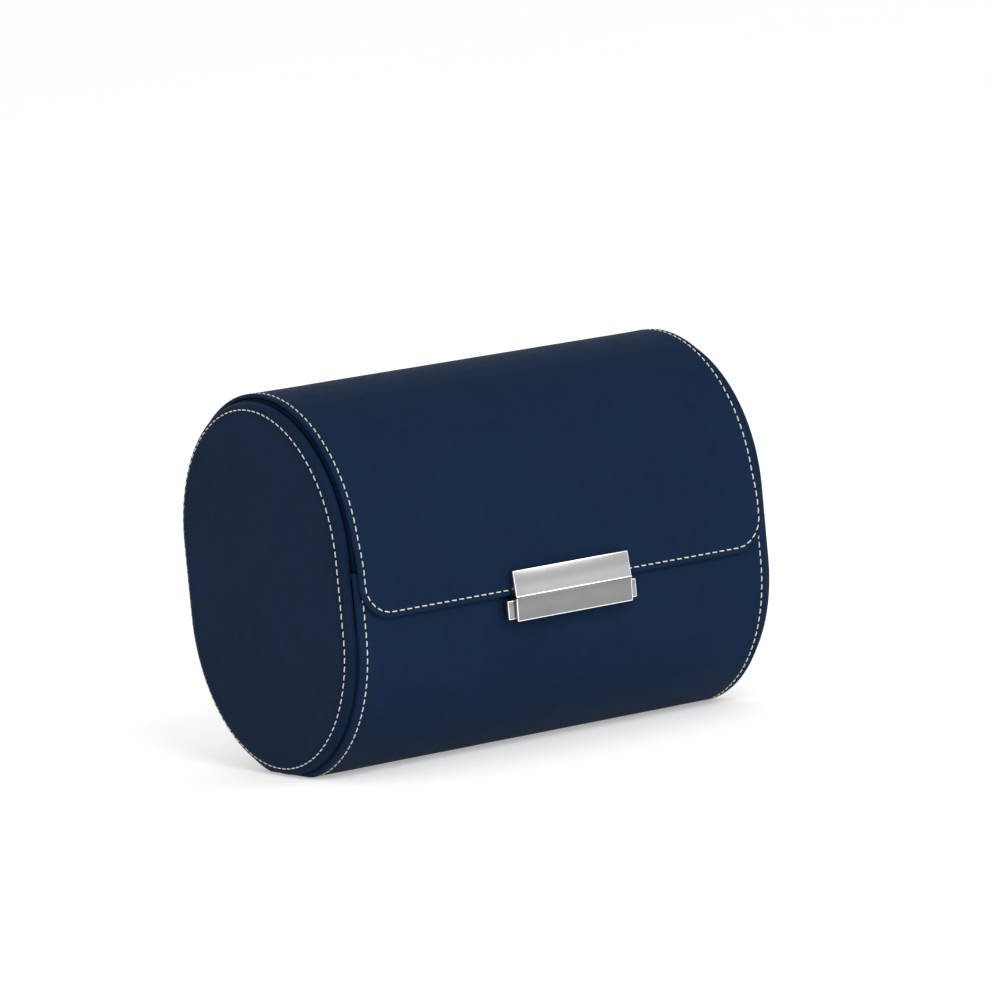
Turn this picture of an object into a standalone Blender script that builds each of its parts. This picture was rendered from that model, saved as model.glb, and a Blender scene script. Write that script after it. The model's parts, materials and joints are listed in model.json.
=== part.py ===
"""Leather jewellery case: an oval-section roll with a hinged flap lid and a squeeze clasp.

Frame: +X along the roll, -Y towards the clasp, +Z up. The origin is the centre of the
flat strip the case stands on. Lengths are in metres.
"""
import math

import bmesh
import bpy
from mathutils import Matrix, Vector

# ---- overall section ---------------------------------------------------------------
ARC_STEPS = 45              # segments in each half circle
MID_Z = 0.0585              # height of the section's centre
STRAIGHT = 0.0115           # half the height of the section's straight side
ARC_TOP = MID_Z + STRAIGHT
ARC_LOW = MID_Z - STRAIGHT
R_BODY = 0.0485             # outer radius of the body leather
R_LID = 0.0488              # outer radius of the lid leather
R_CAP = 0.0467              # outer radius of the end caps
LEATHER = 0.0013
BOARD = 0.0022
LINING = 0.0009
GAP = 0.0003                # glue line between neighbouring layers

# ---- along the roll ----------------------------------------------------------------
X_END = 0.0800              # outer face of the end caps
X_CAP = 0.0765              # rim of the end caps
X_BODY = 0.0762             # ends of the body wrap
X_LID = 0.0752              # ends of the lid
X_TRIM = 0.0755             # inner face of the raised strip beside the lid
CAP_ROUND = 0.0032          # edge radius of the end caps

# ---- front overlap -----------------------------------------------------------------
FRONT_TOP = MID_Z + 0.0075  # top edge of the body's front panel
BACK_TOP = MID_Z + 0.0112   # top edge of the body's back panel
RECESS = 0.0022             # how far the front panel steps in under the flap
RECESS_TOP = MID_Z - 0.0090
FLAP_FOOT = MID_Z - 0.0081  # lower edge of the flap
FLAP_CORNER = 0.0100
LID_FOOT = MID_Z + 0.0079   # lower edge of the lid's board and lining

# ---- clasp -------------------------------------------------------------------------
PLATE_HALF = 0.0215         # half width of both clasp plates
PLATE_TOP = MID_Z + 0.0001
PLATE_LOW = MID_Z - 0.0078
LOCK_TOP = MID_Z - 0.0082
LOCK_LOW = MID_Z - 0.0156
RIDGE_Y = -0.0533           # front of the clasp at the ridge between its plates
PLATE_TOP_Y = -0.0524
LOCK_LOW_Y = -0.0529
PLATE_BACK_Y = -0.0491
LOCK_BACK_Y = -0.0488
CHANNEL_BACK_Y = -0.0493
CHANNEL_FRONT_Y = -0.0519
BUTTON_TIP = 0.0239         # outer end of each side button
BUTTON_TOP = MID_Z - 0.0090
BUTTON_LOW = MID_Z - 0.0148
TONGUE_HALF = 0.0050
RIVET_X = 0.0140

# ---- inside ------------------------------------------------------------------------
DIVIDER = 0.0032
TRAY_X = (-0.0710, -0.0040)
TRAY_Y = 0.0390
TRAY_Z = (MID_Z - 0.0080, MID_Z + 0.0100)
TRAY_WALL = 0.0016
ROLL_COUNT = 5
ROLL_R = 0.0070
ROLL_X = (-0.0680, -0.0070)
ROLL_PITCH = 0.0146
PILLOW_X = (0.0060, 0.0710)
PILLOW_R = 0.0340
PILLOW_STRAIGHT = 0.0030
PILLOW_FLOOR = 0.0062


def clear_scene():
    for obj in list(bpy.data.objects):
        bpy.data.objects.remove(obj, do_unlink=True)


def new_collection(name):
    col = bpy.data.collections.new(name)
    bpy.context.scene.collection.children.link(col)
    return col


def new_material(name, color, roughness, metallic=0.0):
    mat = bpy.data.materials.new(name)
    mat.use_nodes = True
    shader = mat.node_tree.nodes["Principled BSDF"]
    shader.inputs["Base Color"].default_value = (*color, 1.0)
    shader.inputs["Roughness"].default_value = roughness
    shader.inputs["Metallic"].default_value = metallic
    mat.diffuse_color = (*color, 1.0)
    return mat


clear_scene()
CASE = new_collection("leather_jewellery_case")
CUTTERS = new_collection("cutters")


# ---- outlines in the section plane, as (y, z) pairs ---------------------------------
def arc(radius, centre_z, start_deg, stop_deg):
    count = max(2, round(abs(stop_deg - start_deg) / 180.0 * ARC_STEPS))
    points = []
    for i in range(count + 1):
        angle = math.radians(start_deg + (stop_deg - start_deg) * i / count)
        points.append((radius * math.cos(angle), centre_z + radius * math.sin(angle)))
    return points


def flatten(points, radius):
    """Flatten the underside so that the outer leather lies on z = 0."""
    floor = R_BODY - radius
    half = math.sqrt(radius ** 2 - (ARC_LOW - floor) ** 2)
    kept = [point for point in points if point[1] > floor + 1e-5]
    middle = sum(1 for y, z in kept if y > 0)
    return kept[:middle] + [(half, floor), (-half, floor)] + kept[middle:]


def trough_path(radius, back_top=BACK_TOP, front_top=FRONT_TOP):
    points = [(radius, back_top)]
    points += flatten(arc(radius, ARC_LOW, 0, -180), radius)
    points.append((RECESS - radius, RECESS_TOP))
    points.append((RECESS - radius, front_top))
    return points


def lid_path(radius, start_deg, foot):
    return arc(radius, ARC_TOP, start_deg, 180) + [(-radius, foot)]


def band(outer, inner):
    return outer + inner[::-1]


def oval(radius, straight, mid_z):
    return arc(radius, mid_z + straight, 0, 180) + arc(radius, mid_z - straight, 180, 360)


def rectangle(y0, y1, z0, z1):
    return [(y0, z0), (y1, z0), (y1, z1), (y0, z1)]


# ---- solids ------------------------------------------------------------------------
def place(name, mesh, material, collection=None):
    obj = bpy.data.objects.new(name, mesh)
    obj.data.name = name
    if material:
        obj.data.materials.clear()
        obj.data.materials.append(material)
    (collection or CASE).objects.link(obj)
    return obj


def prism(name, outline, x0, x1, material, collection=None):
    """A solid of constant section: the outline in the YZ plane run from x0 to x1."""
    curve = bpy.data.curves.new(name, "CURVE")
    curve.dimensions = "2D"
    curve.fill_mode = "BOTH"
    curve.extrude = abs(x1 - x0) / 2
    spline = curve.splines.new("POLY")
    spline.points.add(len(outline) - 1)
    for point, (y, z) in zip(spline.points, outline):
        point.co = (y, z, 0.0, 1.0)
    spline.use_cyclic_u = True
    temp = bpy.data.objects.new(name, curve)
    CUTTERS.objects.link(temp)
    bpy.context.view_layer.update()
    graph = bpy.context.evaluated_depsgraph_get()
    mesh = bpy.data.meshes.new_from_object(temp.evaluated_get(graph))
    bpy.data.objects.remove(temp, do_unlink=True)
    bpy.data.curves.remove(curve)
    turn = Matrix.Rotation(math.radians(90), 4, "Z") @ Matrix.Rotation(math.radians(90), 4, "X")
    mesh.transform(Matrix.Translation(((x0 + x1) / 2, 0.0, 0.0)) @ turn)
    tidy_mesh(mesh)
    return place(name, mesh, material, collection)


def tidy_mesh(mesh):
    work = bmesh.new()
    work.from_mesh(mesh)
    bmesh.ops.remove_doubles(work, verts=work.verts, dist=1e-6)
    bmesh.ops.recalc_face_normals(work, faces=work.faces)
    work.to_mesh(mesh)
    work.free()


def box(name, x, y, z, material, collection=None):
    return prism(name, rectangle(y[0], y[1], z[0], z[1]), x[0], x[1], material, collection)


def rod(name, radius, start, stop, material, collection=None, sides=24):
    start = Vector(start)
    stop = Vector(stop)
    bpy.ops.mesh.primitive_cylinder_add(vertices=sides, radius=radius, depth=(stop - start).length)
    obj = bpy.context.object
    for col in list(obj.users_collection):
        col.objects.unlink(obj)
    turn = (stop - start).to_track_quat("Z", "Y").to_matrix().to_4x4()
    obj.data.transform(Matrix.Translation((start + stop) / 2) @ turn)
    obj.name = name
    obj.data.name = name
    if material:
        obj.data.materials.append(material)
    (collection or CASE).objects.link(obj)
    return obj


def combine(target, tool, operation, solver="EXACT"):
    """Boolean with a helper solid that stays hidden among the cutters."""
    tool.hide_render = True
    tool.display_type = "WIRE"
    modifier = target.modifiers.new(operation.lower(), "BOOLEAN")
    modifier.operation = operation
    modifier.solver = solver
    modifier.object = tool


def soften(obj, width, segments=2, angle=40):
    modifier = obj.modifiers.new("edge", "BEVEL")
    modifier.width = width
    modifier.segments = segments
    modifier.limit_method = "ANGLE"
    modifier.angle_limit = math.radians(angle)


def smooth(obj):
    obj.data.polygons.foreach_set("use_smooth", [True] * len(obj.data.polygons))


NAVY = new_material("navy_leather", (0.012, 0.022, 0.055), 0.5)
CARD = new_material("grey_board", (0.35, 0.33, 0.30), 0.9)
SUEDE = new_material("suede_lining", (0.55, 0.50, 0.42), 0.95)
CUSHION = new_material("suede_cushion", (0.60, 0.55, 0.47), 0.95)
SILVER = new_material("polished_steel", (0.75, 0.75, 0.76), 0.15, 1.0)
STEEL = new_material("spring_steel", (0.55, 0.55, 0.57), 0.3, 1.0)
BRASS = new_material("rivet_brass", (0.72, 0.55, 0.28), 0.3, 1.0)

# ---- body: leather, board and lining ------------------------------------------------
r1 = R_BODY - LEATHER
r2 = r1 - GAP
r3 = r2 - BOARD
r4 = r3 - GAP
r5 = r4 - LINING
R_INNER = r5 - GAP

body_leather = prism("body_leather", band(trough_path(R_BODY), trough_path(r1)), -X_BODY, X_BODY, NAVY)
body_board = prism("body_board", band(trough_path(r2), trough_path(r3)), -X_BODY, X_BODY, CARD)
body_lining = prism("body_lining", band(trough_path(r4), trough_path(r5)), -X_BODY, X_BODY, SUEDE)

# ---- lid: leather with round lower corners, board and lining -------------------------
HINGE_START = 0.4
q1 = R_LID - LEATHER
q2 = q1 - GAP
q3 = q2 - BOARD
q4 = q3 - GAP
q5 = q4 - LINING
lid_leather = prism("lid_leather", band(lid_path(R_LID, HINGE_START, FLAP_FOOT),
                                        lid_path(q1, HINGE_START, FLAP_FOOT)), -X_LID, X_LID, NAVY)
lid_board = prism("lid_board", band(lid_path(q2, HINGE_START, LID_FOOT),
                                    lid_path(q3, HINGE_START, LID_FOOT)), -X_LID, X_LID, CARD)
lid_lining = prism("lid_lining", band(lid_path(q4, HINGE_START, LID_FOOT),
                                      lid_path(q5, HINGE_START, LID_FOOT)), -X_LID, X_LID, SUEDE)
for side in (-1, 1):
    label = "left" if side < 0 else "right"
    centre = Vector((side * (X_LID - FLAP_CORNER), 0.0, FLAP_FOOT + FLAP_CORNER))
    corner = box(f"corner_block_{label}", sorted((centre.x, side * (X_LID + 0.002))),
                 (-R_LID - 0.002, -q1 + 0.002), (FLAP_FOOT - 0.002, centre.z), None, CUTTERS)
    disc = rod(f"corner_disc_{label}", FLAP_CORNER, (centre.x, -R_LID - 0.004, centre.z),
               (centre.x, -q1 + 0.004, centre.z), None, CUTTERS, sides=64)
    combine(corner, disc, "DIFFERENCE")
    combine(lid_leather, corner, "DIFFERENCE")

# ---- end caps: leather cup, board, lining and the strip the lid closes against --------
for side in (-1, 1):
    label = "left" if side < 0 else "right"

    def span(inner, outer):
        return sorted((side * inner, side * outer))

    cap = prism(f"end_leather_{label}", oval(R_CAP, STRAIGHT, MID_Z), *span(X_CAP, X_END), NAVY)
    work = bmesh.new()
    work.from_mesh(cap.data)
    weight = work.edges.layers.float.new("bevel_weight_edge")
    for edge in work.edges:
        outer_face = all(abs(abs(vert.co.x) - X_END) < 1e-6 for vert in edge.verts)
        if outer_face and edge.calc_face_angle(0.0) > 1.0:
            edge[weight] = 1.0
    work.to_mesh(cap.data)
    work.free()
    roll_edge = cap.modifiers.new("edge", "BEVEL")
    roll_edge.width = CAP_ROUND
    roll_edge.segments = 4
    roll_edge.limit_method = "WEIGHT"
    hollow = prism(f"cap_hollow_{label}", oval(R_CAP - LEATHER, STRAIGHT, MID_Z),
                   *span(X_CAP - 0.002, X_END - LEATHER), None, CUTTERS)
    hollow_edge = hollow.modifiers.new("edge", "BEVEL")
    hollow_edge.width = CAP_ROUND - LEATHER
    hollow_edge.segments = 2
    hollow_edge.limit_method = "ANGLE"
    hollow_edge.angle_limit = math.radians(40)
    combine(cap, hollow, "DIFFERENCE")
    smooth(cap)

    cap_board = prism(f"end_board_{label}", oval(R_CAP - LEATHER - GAP, STRAIGHT, MID_Z),
                      *span(X_CAP, X_END - LEATHER - GAP), CARD)
    soften(cap_board, CAP_ROUND - LEATHER)

    outline = trough_path(R_INNER, MID_Z + 0.007, MID_Z + 0.007) + arc(0.0407, ARC_TOP, 180, 0)
    prism(f"end_lining_{label}", outline, *span(X_LID, X_BODY), SUEDE)

    rest = prism(f"lid_rest_{label}",
                 band(lid_path(0.0434, 4, MID_Z + 0.0082), lid_path(0.0410, 4, MID_Z + 0.0082)),
                 *span(0.0736, X_BODY), NAVY)
    strip = prism(f"rest_strip_{label}",
                  band(lid_path(0.0460, 4.2, MID_Z + 0.0084), lid_path(0.0420, 4.2, MID_Z + 0.0084)),
                  *span(X_TRIM, X_BODY - 0.0001), None, CUTTERS)
    combine(rest, strip, "UNION")

# ---- inner hinge gusset and centre divider -------------------------------------------
prism("hinge_gusset",
      band([(R_INNER, MID_Z + 0.0078)] + arc(R_INNER, ARC_TOP, 0, 12),
           [(R_INNER - 0.0007, MID_Z + 0.0078)] + arc(R_INNER - 0.0007, ARC_TOP, 0, 12)),
      -0.072, 0.072, SUEDE)
divider = prism("divider", trough_path(R_INNER, MID_Z + 0.0072, MID_Z + 0.0072),
                -DIVIDER / 2, DIVIDER / 2, SUEDE)

# ---- clasp plate on the flap ----------------------------------------------------------
clasp_plate = prism("clasp_plate", [(PLATE_BACK_Y, PLATE_LOW), (RIDGE_Y, PLATE_LOW),
                                    (PLATE_TOP_Y, PLATE_TOP), (PLATE_BACK_Y, PLATE_TOP)],
                    -PLATE_HALF, PLATE_HALF, SILVER)
soften(clasp_plate, 0.0003)
tongue_head = (MID_Z - 0.0118, MID_Z - 0.0106)
tongue = box("tongue_neck", (-0.0030, 0.0030), (-0.0506, -0.0496),
             (tongue_head[0] + 0.0002, PLATE_LOW + 0.0015), None, CUTTERS)
foot = box("tongue_head", (-TONGUE_HALF, TONGUE_HALF), (-0.0506, -0.0496), tongue_head, None, CUTTERS)
combine(tongue, foot, "UNION")
combine(clasp_plate, tongue, "UNION")
clasp_backplate = box("clasp_backplate", (-0.0190, 0.0190), (-0.0472, -0.0466),
                      (MID_Z - 0.0073, MID_Z - 0.0005), STEEL)

# ---- lock case on the body --------------------------------------------------------------
lock_case = prism("lock_case", [(LOCK_BACK_Y, LOCK_LOW), (LOCK_LOW_Y, LOCK_LOW),
                                (RIDGE_Y, LOCK_TOP), (LOCK_BACK_Y, LOCK_TOP)],
                  -PLATE_HALF, PLATE_HALF, SILVER)
soften(lock_case, 0.0002)
channel_z = (LOCK_LOW + 0.0005, LOCK_TOP - 0.0005)
channel = box("lock_channel", (-0.03, 0.03), (CHANNEL_FRONT_Y, CHANNEL_BACK_Y), channel_z, None, CUTTERS)
spring_stop = box("spring_stop", (-0.0062, 0.0062), (CHANNEL_FRONT_Y - 0.001, CHANNEL_BACK_Y + 0.001),
                  (LOCK_LOW, MID_Z - 0.0123), None, CUTTERS)
combine(channel, spring_stop, "DIFFERENCE")
mouth = box("lock_mouth", (-TONGUE_HALF - 0.0004, TONGUE_HALF + 0.0004),
            (CHANNEL_FRONT_Y, CHANNEL_BACK_Y), (MID_Z - 0.0100, LOCK_TOP + 0.001), None, CUTTERS)
combine(channel, mouth, "UNION")
combine(lock_case, channel, "DIFFERENCE", "MANIFOLD")
lock_backplate = box("lock_backplate", (-0.0190, 0.0190), (-0.04295, -0.04195),
                     (MID_Z - 0.0164, MID_Z - 0.0118), STEEL)
notch = box("divider_notch", (-0.003, 0.003), (-0.0450, -0.0416), (MID_Z - 0.0167, MID_Z - 0.0115),
            None, CUTTERS)
combine(divider, notch, "DIFFERENCE")

# ---- side buttons: block at the end of a catch arm that reaches past the tongue ------------
for side in (-1, 1):
    label = "left" if side < 0 else "right"
    arm_top = MID_Z - (0.0095 if side < 0 else 0.0107)
    arm_z = (arm_top - 0.0009, arm_top)
    depth = (CHANNEL_FRONT_Y + 0.0002, CHANNEL_BACK_Y - 0.0002)

    def span(inner, outer):
        return sorted((side * inner, side * outer))

    button = box(f"button_{label}", span(0.0128, BUTTON_TIP), depth, (BUTTON_LOW, BUTTON_TOP), SILVER)
    soften(button, 0.0003)
    rail = box(f"catch_rail_{label}", span(0.0132, -0.0085), (depth[0], depth[0] + 0.0005),
               arm_z, None, CUTTERS)
    nose = box(f"catch_nose_{label}", span(-0.0053, -0.0085), depth, arm_z, None, CUTTERS)
    combine(button, rail, "UNION")
    combine(button, nose, "UNION")

    spring = bpy.data.curves.new(f"spring_{label}", "CURVE")
    spring.dimensions = "3D"
    spring.bevel_depth = 0.00014
    spring.bevel_resolution = 1
    spring.use_fill_caps = True
    turns = spring.splines.new("POLY")
    steps = 72
    turns.points.add(steps)
    for i, point in enumerate(turns.points):
        angle = 2 * math.pi * 6 * i / steps
        x = side * (0.0067 + (0.0123 - 0.0067) * i / steps)
        point.co = (x, -0.0506 + 0.0008 * math.cos(angle), MID_Z - 0.0136 + 0.0008 * math.sin(angle), 1)
    coil = bpy.data.objects.new(f"spring_{label}_curve", spring)
    CUTTERS.objects.link(coil)
    bpy.context.view_layer.update()
    wire = bpy.data.meshes.new_from_object(coil.evaluated_get(bpy.context.evaluated_depsgraph_get()))
    bpy.data.objects.remove(coil, do_unlink=True)
    tidy_mesh(wire)
    smooth(place(f"spring_{label}", wire, STEEL))

# ---- rivets that hold both halves of the clasp ----------------------------------------------
for side in (-1, 1):
    label = "left" if side < 0 else "right"
    x = side * RIVET_X
    upper_z = MID_Z - 0.0040
    hole = rod(f"clasp_rivet_hole_{label}", 0.0012, (x, -0.0488 - 0.0002, upper_z),
               (x, -0.0460, upper_z), None, CUTTERS)
    combine(lid_leather, hole, "DIFFERENCE")
    combine(clasp_backplate, hole, "DIFFERENCE")
    rod(f"clasp_rivet_{label}", 0.0009, (x, -0.0489, upper_z), (x, -0.0466, upper_z), BRASS)

    lower_z = MID_Z - 0.0138
    hole = rod(f"lock_rivet_hole_{label}", 0.0013, (x, -0.0488 - 0.0001, lower_z),
               (x, -0.0400, lower_z), None, CUTTERS)
    for layer in (body_leather, body_board, body_lining, lock_backplate):
        combine(layer, hole, "DIFFERENCE")
    rivet = rod(f"lock_rivet_{label}", 0.0010, (x, -0.0485, lower_z), (x, -0.0412, lower_z), BRASS)
    head = rod(f"lock_rivet_head_{label}", 0.0020, (x, -0.0416, lower_z), (x, -0.0409, lower_z),
               None, CUTTERS)
    combine(rivet, head, "UNION")

# ---- ring tray in the left bay ------------------------------------------------------------
tray = box("ring_tray", TRAY_X, (-TRAY_Y, TRAY_Y), TRAY_Z, SUEDE)
tray_inside = box("tray_inside", (TRAY_X[0] + TRAY_WALL, TRAY_X[1] - TRAY_WALL),
                  (-TRAY_Y + TRAY_WALL, TRAY_Y - TRAY_WALL),
                  (TRAY_Z[0] + TRAY_WALL, TRAY_Z[1] + 0.002), None, CUTTERS)
combine(tray, tray_inside, "DIFFERENCE")
box("tray_pull", (-0.0065, -0.0059), (-0.007, 0.007), (TRAY_Z[0] + 0.0025, TRAY_Z[1] + 0.009), NAVY)
box("tray_cleat_outer", (-0.0749, -0.0670), (-0.018, 0.018), (0.0460, 0.0502), SUEDE)
box("tray_cleat_inner", (-0.0070, -0.0019), (-0.018, 0.018), (0.0460, 0.0502), SUEDE)
roll_z = TRAY_Z[0] + TRAY_WALL + GAP + ROLL_R
for i in range(ROLL_COUNT):
    y = (i - (ROLL_COUNT - 1) / 2) * ROLL_PITCH
    roll = rod(f"ring_roll_{i + 1}", ROLL_R, (ROLL_X[0], y, roll_z), (ROLL_X[1], y, roll_z),
               CUSHION, sides=28)
    soften(roll, 0.0020, segments=2)
    smooth(roll)

# ---- bracelet pillow in the right bay ---------------------------------------------------------
pillow_mid = PILLOW_FLOOR + PILLOW_R + PILLOW_STRAIGHT
pillow = prism("bracelet_pillow", oval(PILLOW_R, PILLOW_STRAIGHT, pillow_mid), *PILLOW_X, CUSHION)
soften(pillow, 0.0080, segments=4)
smooth(pillow)

for cutter in CUTTERS.objects:
    cutter.hide_render = True
    cutter.display_type = "WIRE"
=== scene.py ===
"""Looks for the leather jewellery case: leather wraps, stitching, clasp, linings and cushions.

Everything is in metres in the frame's axes: +X along the roll, -Y to the clasp, +Z up.
"""
import json
import math

import bmesh
import bpy
import numpy as np
from mathutils import Matrix, Vector, noise


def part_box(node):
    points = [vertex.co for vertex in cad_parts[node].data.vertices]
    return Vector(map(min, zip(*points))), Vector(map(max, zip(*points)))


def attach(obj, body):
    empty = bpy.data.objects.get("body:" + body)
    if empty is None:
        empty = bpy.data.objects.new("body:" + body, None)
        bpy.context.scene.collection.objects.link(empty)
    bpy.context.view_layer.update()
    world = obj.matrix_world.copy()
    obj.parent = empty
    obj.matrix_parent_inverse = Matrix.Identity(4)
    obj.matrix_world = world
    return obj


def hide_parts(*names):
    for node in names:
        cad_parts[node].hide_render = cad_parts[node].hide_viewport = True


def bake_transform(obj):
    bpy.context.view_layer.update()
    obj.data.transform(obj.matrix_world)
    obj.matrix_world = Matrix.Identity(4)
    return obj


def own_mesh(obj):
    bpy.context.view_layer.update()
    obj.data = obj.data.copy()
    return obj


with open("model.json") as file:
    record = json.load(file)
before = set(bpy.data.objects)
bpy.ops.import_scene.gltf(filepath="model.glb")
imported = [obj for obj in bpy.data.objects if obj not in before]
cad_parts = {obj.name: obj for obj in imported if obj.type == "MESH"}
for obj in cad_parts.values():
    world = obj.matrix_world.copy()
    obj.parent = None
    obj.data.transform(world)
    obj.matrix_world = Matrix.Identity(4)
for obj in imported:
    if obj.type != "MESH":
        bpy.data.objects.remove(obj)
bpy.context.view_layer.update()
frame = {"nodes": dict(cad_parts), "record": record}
JOINTS = {joint["name"]: joint for joint in frame["record"]["behaviour"]["joints"]}
MM = 0.001

# ---- Section, from the frame ----
end_low, end_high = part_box("end_board_left")
MID_Z = (end_low.z + end_high.z) / 2
HINGE_Y, ARC_TOP = JOINTS["lid_hinge"]["pos_m"][1:]
STRAIGHT = ARC_TOP - MID_Z
ARC_LOW = MID_Z - STRAIGHT
R_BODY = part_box("body_leather")[1].y
R_LID = -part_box("lid_leather")[0].y
R_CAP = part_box("end_leather_left")[1].y
X_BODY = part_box("body_leather")[1].x
X_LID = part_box("lid_leather")[1].x
X_CAP = -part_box("end_leather_left")[1].x
X_END = -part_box("end_leather_left")[0].x
FLAP_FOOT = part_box("lid_leather")[0].z + 0.5 * MM
FLAP_PROUD = 1.35 * MM          # the flap lies on the front panel
LEATHER = 1.3 * MM
RECESS = 2.2 * MM               # the front lining stands in by this much
RECESS_TOP = MID_Z - 9.0 * MM
POCKET = 1.4 * MM               # depth of the hollow behind the clasp
POCKET_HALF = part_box("clasp_backplate")[1].x + 0.8 * MM
ROLL = 0.9 * MM                 # rounding of the front panel's top edge
FRONT_TOP = MID_Z + 7.5 * MM
BACK_SEAM = MID_Z + 1.5 * MM    # where the body wrap meets the leather of the lid
FLAP_CORNER = 11 * MM
SIDES = ((-1, "left"), (1, "right"))

# ---- Stitching ----
PITCH = 2.72 * MM
STITCH_HALF = 1.07 * MM
THREAD = 0.205 * MM
THREAD_CAP = 0.18 * MM
INSET_LID = 1.75 * MM
INSET_BODY = 2.4 * MM
INSET_CAP = 2.3 * MM


# ---- Materials ----
class Nodes:
    """A short way to add and join shader nodes."""

    def __init__(self, name):
        self.material = bpy.data.materials.new(name)
        self.material.use_nodes = True
        self.tree = self.material.node_tree
        self.shader = self.tree.nodes["Principled BSDF"]
        self.place = self.add("ShaderNodeTexCoord").outputs["Object"]

    def feed(self, socket, value):
        """Joins another node's output to a socket, or sets a plain value on it."""
        if isinstance(value, bpy.types.NodeSocket):
            self.tree.links.new(value, socket)
        else:
            socket.default_value = value

    def add(self, kind, inputs=(), **settings):
        node = self.tree.nodes.new(kind)
        for key, value in settings.items():
            setattr(node, key, value)
        for key, value in dict(inputs).items():
            self.feed(node.inputs[key], value)
        return node

    def noise(self, scale, detail=3.0, rough=0.5, stretch=None):
        place = self.place
        if stretch:
            mapping = self.add("ShaderNodeMapping", {"Vector": place, "Scale": stretch})
            place = mapping.outputs["Vector"]
        return self.add("ShaderNodeTexNoise", {"Vector": place, "Scale": scale, "Detail": detail,
                                               "Roughness": rough}).outputs["Fac"]

    def cells(self, scale, feature="F1"):
        return self.add("ShaderNodeTexVoronoi", {"Vector": self.place, "Scale": scale},
                        feature=feature).outputs["Distance"]

    def wave(self, scale, axis, distortion):
        inputs = {"Vector": self.place, "Scale": scale, "Distortion": distortion}
        return self.add("ShaderNodeTexWave", inputs, bands_direction=axis).outputs["Fac"]

    def attribute(self, name):
        return self.add("ShaderNodeAttribute", attribute_name=name).outputs["Fac"]

    def scaled(self, source, low, high, start=0.0, end=1.0):
        return self.add("ShaderNodeMapRange", {"Value": source, "From Min": start, "From Max": end,
                                               "To Min": low, "To Max": high}).outputs["Result"]

    def maths(self, operation, a, b):
        return self.add("ShaderNodeMath", {0: a, 1: b}, operation=operation).outputs["Value"]

    def mix(self, factor, first, second):
        """Mixes two colours, each a plain (r, g, b) or another node's output."""
        node = self.add("ShaderNodeMix", {"Factor": factor}, data_type="RGBA")
        for name, value in (("A", first), ("B", second)):
            socket = [s for s in node.inputs if s.name == name and s.type == "RGBA"][0]
            self.feed(socket, (*value, 1.0) if isinstance(value, tuple) else value)
        return [s for s in node.outputs if s.type == "RGBA"][0]

    def bump(self, layers):
        """Bumps in a chain: (height, distance in metres, strength)."""
        under = {}
        for height, distance, strength in layers:
            node = self.add("ShaderNodeBump", {"Height": height, "Distance": distance,
                                               "Strength": strength, **under})
            under = {"Normal": node.outputs["Normal"]}
        self.set(**under)

    def set(self, **values):
        """Feeds the shader's own sockets; an underscore stands for a space."""
        for key, value in values.items():
            self.feed(self.shader.inputs[key.replace("_", " ")], value)


def leather_material(name, dark, light, edge):
    """Smooth calf: fine pores, faint creases, slow colour drift and painted, polished edges."""
    n = Nodes(name)
    drift = n.noise(22, 4, 0.55)
    mottle = n.noise(240, 3, 0.6)
    tone = n.mix(n.scaled(drift, 0, 1, 0.3, 0.7), dark, light)
    tone = n.mix(n.scaled(mottle, 0, 0.3, 0.35, 0.75), tone, tuple(c * 1.3 for c in light))
    tone = n.mix(n.attribute("edge"), tone, edge)
    rough = n.scaled(n.noise(420, 3, 0.6), 0.46, 0.62)
    polish = n.scaled(n.attribute("edge"), 0.0, -0.15)
    n.set(Base_Color=tone, Roughness=n.maths("ADD", rough, polish), Specular_IOR_Level=0.014)
    pores = n.scaled(n.cells(2300), 0, 1, 0.0, 0.55)
    wrinkle = n.scaled(n.cells(900, "DISTANCE_TO_EDGE"), 0, 1, 0.0, 0.12)
    n.bump([(wrinkle, 0.00003, 0.35), (pores, 0.00002, 0.3), (n.noise(95, 4, 0.6), 0.00010, 0.25)])
    return n.material


def suede_material(name, dark, light):
    """Short nap: brushed patches over a very fine fibre."""
    n = Nodes(name)
    patches = n.noise(60, 4, 0.6, (1.0, 1.0, 2.2))
    fibre = n.noise(3800, 2, 0.7)
    tone = n.mix(n.scaled(patches, 0, 1, 0.3, 0.7), dark, light)
    tone = n.mix(n.scaled(fibre, 0, 0.5, 0.35, 0.8), tone, tuple(min(1, c * 1.3) for c in light))
    n.set(Base_Color=tone, Roughness=n.scaled(fibre, 0.82, 0.98), Specular_IOR_Level=0.15,
          Sheen_Weight=0.35, Sheen_Roughness=0.4)
    n.bump([(fibre, 0.00008, 0.5), (patches, 0.00025, 0.3)])
    return n.material


def thread_material(name, dark, light):
    """Twisted ply with paler and darker stretches."""
    n = Nodes(name)
    ply = n.wave(1500, "DIAGONAL", 1.5)
    tone = n.mix(ply, dark, light)
    tone = n.mix(n.scaled(n.noise(70, 2), 0, 0.4, 0.4, 0.7), tone, tuple(c * 0.8 for c in light))
    n.set(Base_Color=tone, Roughness=n.scaled(n.noise(2500, 2), 0.55, 0.8),
          Specular_IOR_Level=0.3, Sheen_Weight=0.15)
    n.bump([(ply, 0.00006, 0.6)])
    return n.material


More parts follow.
